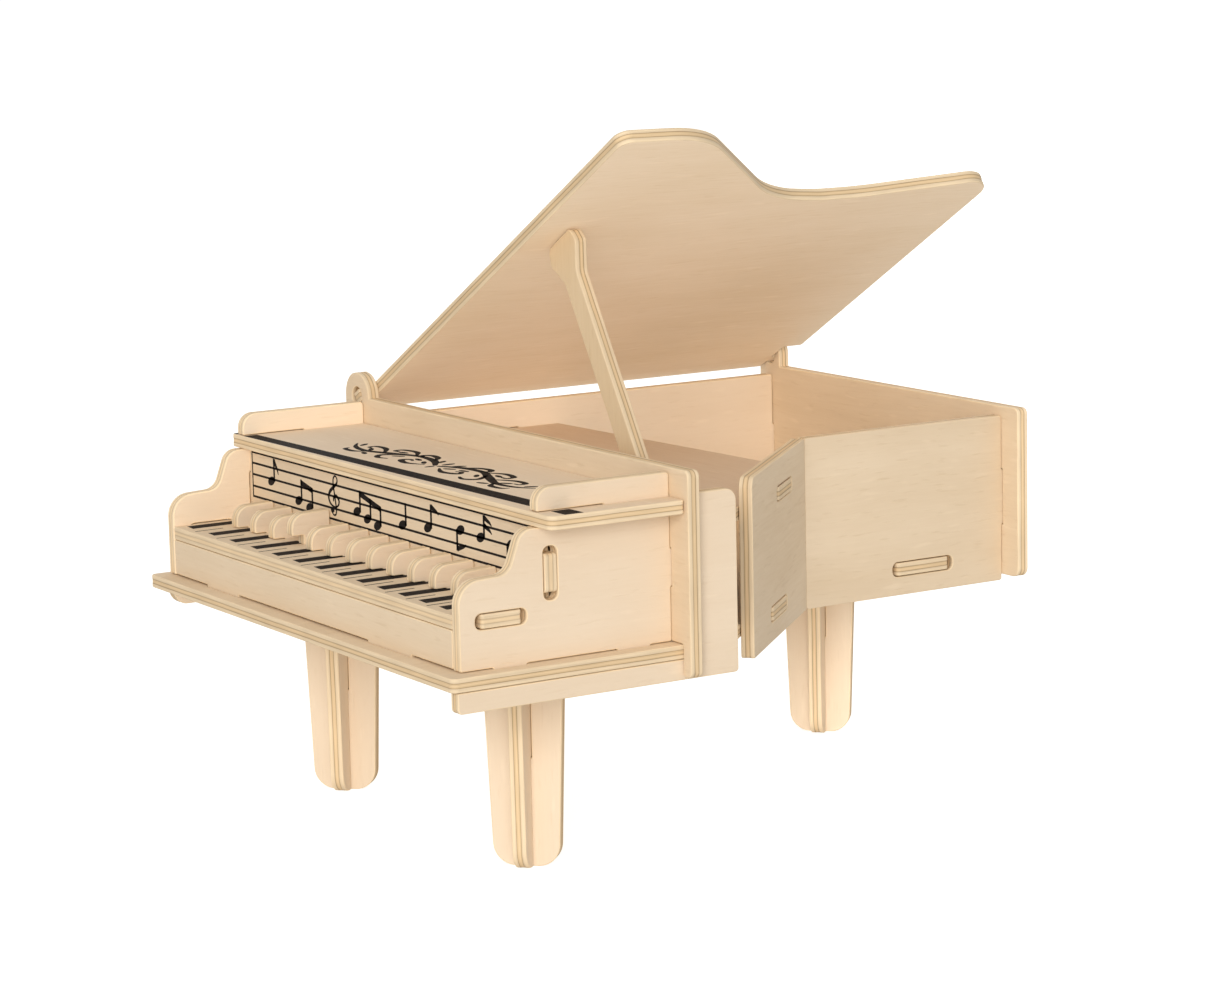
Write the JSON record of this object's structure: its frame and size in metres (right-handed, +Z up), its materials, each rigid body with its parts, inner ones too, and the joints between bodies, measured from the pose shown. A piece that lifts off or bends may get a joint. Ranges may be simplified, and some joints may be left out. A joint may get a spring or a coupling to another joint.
{
  "type": "slot-together wooden grand piano model",
  "caption": "Slot-together plywood sheet model of a grand piano with a keyboard box, three crossed-blade legs, a hinged lid and a folding prop stick.",
  "frame": {"origin": "on the floor, under the middle of the model's bounding box", "axes": "+X along the keyboard from bass to treble, +Y from the keyboard to the tail, +Z up"},
  "size_m": [0.152, 0.181, 0.1572],
  "materials": {
    "plywood": "bare sanded basswood plywood, matt",
    "plywood_pale": "bare sanded basswood plywood, matt, paler face"
  },
  "bodies": {
    "case": {"base_plate": "plywood", "bent_side_panel": "plywood", "front_bulkhead": "plywood", "tail_panel": "plywood", "soundboard": "plywood", "key_slip": "plywood", "key_plate": "plywood", "music_panel": "plywood", "top_shelf": "plywood", "left_side_panel": "plywood_pale", "right_side_panel": "plywood_pale", "rear_side_panel": "plywood_pale", "left_cheek": "plywood_pale", "right_cheek": "plywood_pale", "black_key_01": "plywood_pale", "black_key_02": "plywood_pale", "black_key_03": "plywood_pale", "black_key_04": "plywood_pale", "black_key_05": "plywood_pale", "black_key_06": "plywood_pale", "black_key_07": "plywood_pale", "black_key_08": "plywood_pale", "black_key_09": "plywood_pale", "black_key_10": "plywood_pale", "black_key_11": "plywood_pale", "black_key_12": "plywood_pale", "leg_front_left_a": "plywood_pale", "leg_front_left_b": "plywood_pale", "leg_front_right_a": "plywood_pale", "leg_front_right_b": "plywood_pale", "leg_rear_a": "plywood_pale", "leg_rear_b": "plywood_pale"},
    "lid": {"lid": "plywood"},
    "prop": {"lid_prop": "plywood"}
  },
  "joints": [
    {"name": "lid_hinge", "type": "hinge", "parent": "case", "child": "lid", "pos_m": [-0.0701, 0.027, 0.0879], "axis": [0, -1, 0], "range_deg": [0, 60]},
    {"name": "prop_fold", "type": "hinge", "parent": "case", "child": "prop", "pos_m": [0.0419, -0.0225, 0.0748], "axis": [0, -1, 0], "range_deg": [0, 34]}
  ]
}
